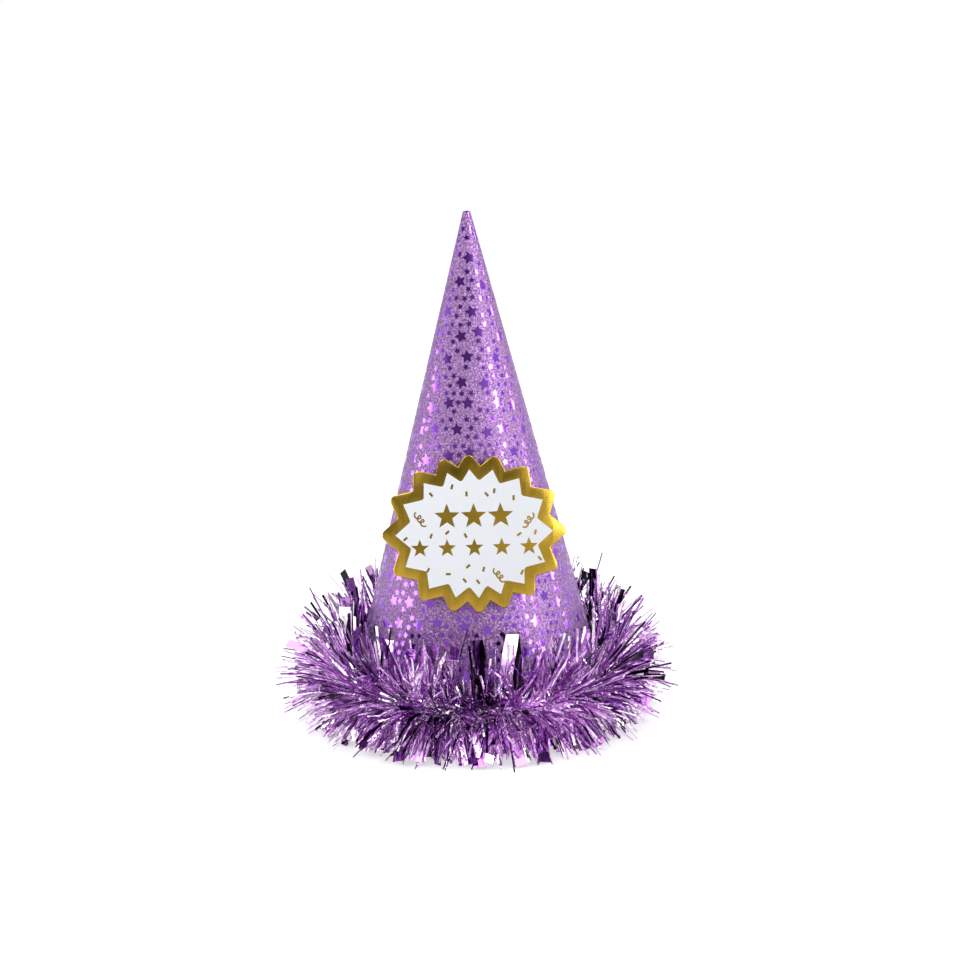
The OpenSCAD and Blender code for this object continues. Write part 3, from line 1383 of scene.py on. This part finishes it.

# Wide strips that stand out at the front and sides: degrees round from the
# front, rise, length and width in mm, film tone, roll and curl in degrees.
# The film tone makes a ribbon near-black, a painted dark reflection, white,
# a painted highlight, or purple between.
WIDE_AT_FRONT = (
    (-140, 71, 35, 5.0, 0.40, 10, 0),
    (-125, 69, 37, 5.5, 0.00, 8, -4),
    (-118, 72, 33, 5.0, 0.30, -10, 0),
    (-112, 75, 33, 4.5, 0.00, 14, 6),
    (-100, 59, 29, 4.5, 0.88, 20, 8),
    (-95, 40, 31, 5.0, 0.00, 16, -6),
    (-88, 32, 30, 6.0, 0.35, -12, 5),
    (-82, 86, 29, 5.5, 0.02, 10, 4),
    (-60, 10, 21, 6.0, 0.14, 20, 12),
    (-50, 46, 34, 6.0, 0.78, -14, -20),
    (-35, -10, 25, 6.5, 1.00, 26, 8),
    (-33, 86, 33, 6.0, 0.12, -14, 8),
    (-27, 86, 33, 6.0, 0.32, 16, 8),
    (-19, 82, 29, 5.5, 0.85, 20, 10),
    (-13, 90, 30, 4.0, 0.08, 8, 0),
    (-30, -30, 26, 6.0, 0.10, 12, 8),
    (-18, -34, 24, 6.5, 0.40, -10, 6),
    (-2, -33, 25, 6.0, 0.12, 8, 10),
    (5, 86, 34, 5.0, 0.04, -9, 2),
    (10, 84, 37, 5.5, 1.00, 6, 6),
    (17, 84, 35, 6.5, 0.00, -5, -6),
    (24, 84, 35, 6.0, 0.82, 14, 8),
    (10, -34, 26, 6.0, 0.38, 10, 6),
    (25, -36, 26, 6.0, 0.14, -12, 8),
    (40, -40, 25, 6.0, 0.08, 14, 8),
    (62, -12, 25, 5.0, 0.10, -16, 10),
    (70, 37, 26, 6.0, 0.16, 12, 6),
    (80, 22, 33, 5.0, 0.68, 20, 8),
    (100, 74, 31, 5.0, 0.02, 12, 4),
    (108, 76, 33, 6.0, 0.40, -12, 0),
    (115, 82, 35, 5.5, 0.00, 8, -4),
)


def hand_placed(table: tuple) -> Growth:
    """Turns the table of wide strips into a growth.

    Args:
        table: rows of the seven numbers that the table's note names.

    Returns:
        The growth.
    """
    columns = np.array(table, float).T
    around, rise, length, width, tone, roll, curl = columns
    rolled = np.radians(roll)
    return Growth(
        around=np.radians(around),
        rise=np.radians(rise),
        length=length * MM,
        width=width * RIBBON_WIDER * MM,
        sideways=LEAN_OF_ROLL * rolled,
        roll=rolled,
        curl=np.radians(curl),
        twist=TWIST_OF_ROLL * rolled,
        tone=tone,
        swing=np.zeros(len(around)),
    )


# Studio


@dataclass(frozen=True)
class Softbox:
    """A rectangular soft lamp, which may light only what mirrors it.

    Lean turns it about its own axis, in degrees.
    """

    name: str
    place: tuple[float, float, float]
    aim: tuple[float, float, float]
    width: float
    height: float
    radiance: float
    lean: float = 0.0
    for_mirrors: bool = False

    def hang(self) -> None:
        """Puts the lamp in the scene, at the power that gives its radiance."""
        lamp = bpy.data.lights.new(self.name, "AREA")
        lamp.shape, lamp.size, lamp.size_y = "RECTANGLE", self.width, self.height
        lamp.energy = self.radiance * math.pi * self.width * self.height
        holder = bpy.data.objects.new(self.name, lamp)
        bpy.context.scene.collection.objects.link(holder)
        holder.location = self.place
        holder.visible_diffuse = not self.for_mirrors
        facing = (Vector(self.aim) - Vector(self.place)).to_track_quat("-Z", "Y").to_matrix()
        holder.rotation_euler = (facing @ Matrix.Rotation(math.radians(self.lean), 3, "Z")).to_euler()


@dataclass
class Studio:
    """White sweep, room and lamps, and the camera of the photograph.

    Metal mirrors a room of its own, grey in bands, each a pair of height and
    grey. It has a dark patch dark_side round from the front, which reaches
    dark_reach to the sides and up and down, and ends dark_depth past the
    middle, so that the room is light behind the hat. Angles are in degrees
    and lengths in metres, and the room's measures are shares of its radius.
    """

    aim: tuple[float, float, float] = (0.0031, 0.0, 0.1072)
    distance: float = 1.25
    elevation: float = 16.0
    roll: float = -1.4
    pixels_per_metre: float = 2250.0
    frame_pixels: float = 960.0
    sensor: float = 36.0
    view_end: float = 20.0
    floor_size: float = 8.0
    floor_colour: str = "#e6e6e8"
    floor_glow: float = 0.55
    floor_fade: tuple[float, float] = (0.4, 1.2)
    dark_side: float = -46.0
    dark_rise: float = 0.36
    dark_reach: tuple[float, float] = (1.12, 0.2)
    dark_depth: float = 0.25
    dark_edge: tuple[float, float] = (0.75, 1.2)
    dark_level: float = 0.2
    open_level: float = 0.95
    bands: tuple[tuple[float, float], ...] = (
        (0.3, 0.4),
        (0.42, 0.1),
        (0.56, 0.1),
        (0.66, 1.0),
        (0.84, 1.0),
        (0.9, 0.25),
    )
    mirrored_strength: float = 2.1
    lighting_strength: float = 0.4
    bounces: int = 16
    glossy_bounces: int = 14

    def floor(self) -> None:
        """Lays the white floor: it keeps the hat's soft shadow and fades to plain white far off."""
        deselect_all()
        bpy.ops.mesh.primitive_plane_add(size=self.floor_size)
        floor = bpy.context.object
        floor.name = "floor"
        material, tree = new_material("white_sweep")
        paper = add_node(tree, "ShaderNodeBsdfDiffuse", {"Color": linear(self.floor_colour)})
        glow = add_node(tree, "ShaderNodeEmission", {"Color": (1, 1, 1, 1), "Strength": self.floor_glow})
        path = add_node(tree, "ShaderNodeLightPath")
        seen = add_node(
            tree,
            "ShaderNodeMath",
            {0: path.outputs["Is Camera Ray"], 1: path.outputs["Is Glossy Ray"]},
            operation="MAXIMUM",
        )
        both = add_node(tree, "ShaderNodeAddShader", {0: paper, 1: glow})
        spot = add_node(tree, "ShaderNodeTexCoord").outputs["Object"]
        away = add_node(tree, "ShaderNodeVectorMath", {0: spot}, operation="LENGTH")
        near_end, far_end = self.floor_fade
        far = add_node(
            tree, "ShaderNodeMapRange", {0: away.outputs["Value"], 1: near_end, 2: far_end, 3: 0.0, 4: 1.0}
        )
        white = add_node(tree, "ShaderNodeEmission", {"Color": (1, 1, 1, 1), "Strength": 1.0})
        faded = add_node(tree, "ShaderNodeMixShader", {0: far, 1: both, 2: white})
        mix = add_node(tree, "ShaderNodeMixShader", {0: seen, 1: paper, 2: faded})
        add_node(tree, "ShaderNodeOutputMaterial", {0: mix})
        put_material(floor, material)

    def room(self) -> None:
        """Sets the world: white behind the hat, and a soft room with one dark side for the foil."""
        world = bpy.data.worlds.new("studio_room")
        bpy.context.scene.world = world
        world.use_nodes = True
        tree = world.node_tree
        tree.nodes.clear()
        path = add_node(tree, "ShaderNodeLightPath")
        heading = add_node(tree, "ShaderNodeTexCoord").outputs["Generated"]
        to_side = add_node(
            tree,
            "ShaderNodeVectorRotate",
            {"Vector": heading, "Angle": -math.radians(self.dark_side)},
            rotation_type="Z_AXIS",
        )
        raised = add_node(
            tree, "ShaderNodeVectorMath", {0: to_side, 1: (0, 0, self.dark_rise)}, operation="SUBTRACT"
        )
        spread = (1 / self.dark_reach[0], 1 / self.dark_depth, 1 / self.dark_reach[1])
        scaled = add_node(tree, "ShaderNodeVectorMath", {0: raised, 1: spread}, operation="MULTIPLY")
        # The patch has no depth on its own side: there only the other two directions count
        beyond = -2 * max(spread)
        one_sided = add_node(
            tree, "ShaderNodeVectorMath", {0: scaled, 1: (beyond, 0, beyond)}, operation="MAXIMUM"
        )
        away = add_node(tree, "ShaderNodeVectorMath", {0: one_sided}, operation="LENGTH")
        inner, outer = self.dark_edge
        level = add_node(
            tree,
            "ShaderNodeMapRange",
            {0: away.outputs["Value"], 1: inner, 2: outer, 3: self.dark_level, 4: self.open_level},
            interpolation_type="SMOOTHSTEP",
        )
        rise = add_node(tree, "ShaderNodeSeparateXYZ", {0: heading}).outputs[2]
        ramp = add_node(tree, "ShaderNodeValToRGB", {0: rise})
        stops = ramp.color_ramp.elements
        stops[0].position = self.bands[0][0]
        stops[1].position = self.bands[-1][0]
        for place, _ in self.bands[1:-1]:
            stops.new(place)
        for stop, (_, grey) in zip(stops, self.bands, strict=True):
            stop.color = (grey, grey, grey, 1)
        lit = add_node(tree, "ShaderNodeMath", {0: ramp, 1: level}, operation="MULTIPLY")
        strength = add_node(
            tree, "ShaderNodeMath", {0: lit, 1: self.mirrored_strength}, operation="MULTIPLY"
        )
        mirrored = add_node(tree, "ShaderNodeBackground", {"Color": (1, 1, 1, 1), "Strength": strength})
        lighting = add_node(
            tree, "ShaderNodeBackground", {"Color": (1, 1, 1, 1), "Strength": self.lighting_strength}
        )
        backdrop = add_node(tree, "ShaderNodeBackground", {"Color": (1, 1, 1, 1), "Strength": 1.0})
        seen = add_node(
            tree,
            "ShaderNodeMath",
            {0: path.outputs["Is Camera Ray"], 1: path.outputs["Is Transmission Ray"]},
            operation="MAXIMUM",
        )
        for_metal = add_node(
            tree, "ShaderNodeMixShader", {0: path.outputs["Is Glossy Ray"], 1: lighting, 2: mirrored}
        )
        mix = add_node(tree, "ShaderNodeMixShader", {0: seen, 1: for_metal, 2: backdrop})
        add_node(tree, "ShaderNodeOutputWorld", {0: mix})

    def lamps(self) -> None:
        """Hangs the lamps: soft ones above, and strips at the sides that only metal mirrors."""
        middle = (0.0, 0.0, 0.11)
        for box in (
            Softbox("strip_right", (1.03, -0.62, 0.30), middle, 0.2, 0.9, 17.0, lean=22.0, for_mirrors=True),
            Softbox("top_bank", (0.1, 0.3, 1.5), middle, 1.2, 1.2, 1.0),
            Softbox("high_left", (-0.7, -0.55, 1.0), middle, 0.5, 0.9, 5.0, lean=60.0),
            Softbox("high_right", (0.6, -0.7, 1.1), middle, 0.5, 0.9, 4.0, lean=-50.0),
            Softbox("low_left", (-1.15, 0.06, 0.125), middle, 1.1, 0.22, 5.0, for_mirrors=True),
            Softbox("rim_right", (1.15, 0.3, 0.3), middle, 0.14, 0.9, 10.0, for_mirrors=True),
        ):
            box.hang()

    def camera(self) -> None:
        """Sets the camera at the photograph's viewing angle."""
        view = bpy.data.cameras.new("camera")
        view.sensor_width = self.sensor
        view.lens = self.pixels_per_metre * self.distance * self.sensor / self.frame_pixels
        view.clip_end = self.view_end
        holder = bpy.data.objects.new("camera", view)
        bpy.context.scene.collection.objects.link(holder)
        tilt = math.radians(self.elevation)
        back = Vector((0, -math.cos(tilt), math.sin(tilt)))
        holder.location = Vector(self.aim) + back * self.distance
        facing = (-back).to_track_quat("-Z", "Y").to_matrix().to_4x4()
        rolled = facing @ Matrix.Rotation(math.radians(self.roll), 4, "Z")
        holder.rotation_euler = rolled.to_euler()
        bpy.context.scene.camera = holder

    def build(self) -> None:
        """Sets up the studio and lets light bounce often enough between mirror strips."""
        self.floor()
        self.room()
        self.lamps()
        self.camera()
        scene = bpy.context.scene
        scene.view_settings.view_transform = "Standard"
        scene.cycles.max_bounces = self.bounces
        scene.cycles.glossy_bounces = self.glossy_bounces


# Assembly


def keep(piece: bpy.types.Object, slot: str, *nodes: str) -> None:
    """Rides a piece on the hat, hides the nodes it stands for, and reports it.

    Args:
        piece: the finished piece.
        slot: not used.
        nodes: CAD nodes that it replaces.
    """
    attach(piece, "root")
    if nodes:
        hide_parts(*nodes)
    LOG.info("%s: %d faces", piece.name, len(piece.data.polygons))


def build_garland(sizes: HatSizes) -> None:
    """Builds the garland's wires, wrap and strips.

    Args:
        sizes: the hat's sizes.
    """
    garland = TinselGarland(sizes)
    slit = MetallisedFilm("metallised_film_fine_cut", crinkle=1.8 * MM, depth=0.3 * MM).material()
    ribbon = MetallisedFilm("metallised_film_wide_cut", crinkle=9 * MM, depth=0.5 * MM).material()
    pieces = []
    for cut in (FINE_LONG_CUT, FINE_CURLED_CUT, SHORT_CUT, NEEDLE_CUT, RIBBON_CUT):
        pieces.append(garland.grow(cut.name, garland.scatter(cut), cut.pieces))
    pieces.append(garland.grow("tinsel_wide_front", hand_placed(WIDE_AT_FRONT), RIBBON_PIECES))
    pieces.append(garland.wrap())
    for piece in pieces:
        put_material(piece, ribbon if "wide" in piece.name else slit)
        keep(piece, "tinsel_film", "tinsel_fringe")
    wire = DrawnWire().material()
    for piece in garland.wires():
        put_material(piece, wire)
        keep(piece, "core_wire", "tinsel_core")


def dress_nodes(nodes: dict[str, bpy.types.Object], sizes: HatSizes) -> None:
    """Gives the CAD nodes that stay in view their finishes.

    Args:
        nodes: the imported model's objects by name.
        sizes: the hat's sizes.
    """
    white_ink = CoatedSurface(
        "white_ink_on_foil", "#eef1f5", "#e9ecf2", roughness=0.4, grain=0.5 * MM, depth=0.01 * MM
    )
    foam = CoatedSurface(
        "closed_cell_foam", "#f3f2ee", "#dddcd6", roughness=0.9, grain=0.35 * MM, depth=0.15 * MM
    )
    glue = CoatedSurface(
        "set_hot_glue", "#efece0", "#e2decf", roughness=0.35, grain=2.0 * MM, depth=0.1 * MM
    )
    finishes = {
        "cone": StarFoilCard(sizes),
        "badge_print": white_ink,
        "foam_pads": foam,
        "glue_beads": glue,
    }
    for name, finish in finishes.items():
        put_material(nodes[name], finish.material())
        LOG.info("%s: %d faces", name, len(nodes[name].data.polygons))


def main() -> None:
    """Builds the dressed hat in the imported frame."""
    logging.basicConfig(level=logging.INFO, format="%(message)s")
    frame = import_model()
    sizes = HatSizes()
    Studio().build()
    dress_nodes(frame["nodes"], sizes)
    keep(BurstBadge(sizes).build(), "gold_foil_card", "badge_card")
    build_garland(sizes)
    deselect_all()


if __name__ == "__main__":
    main()
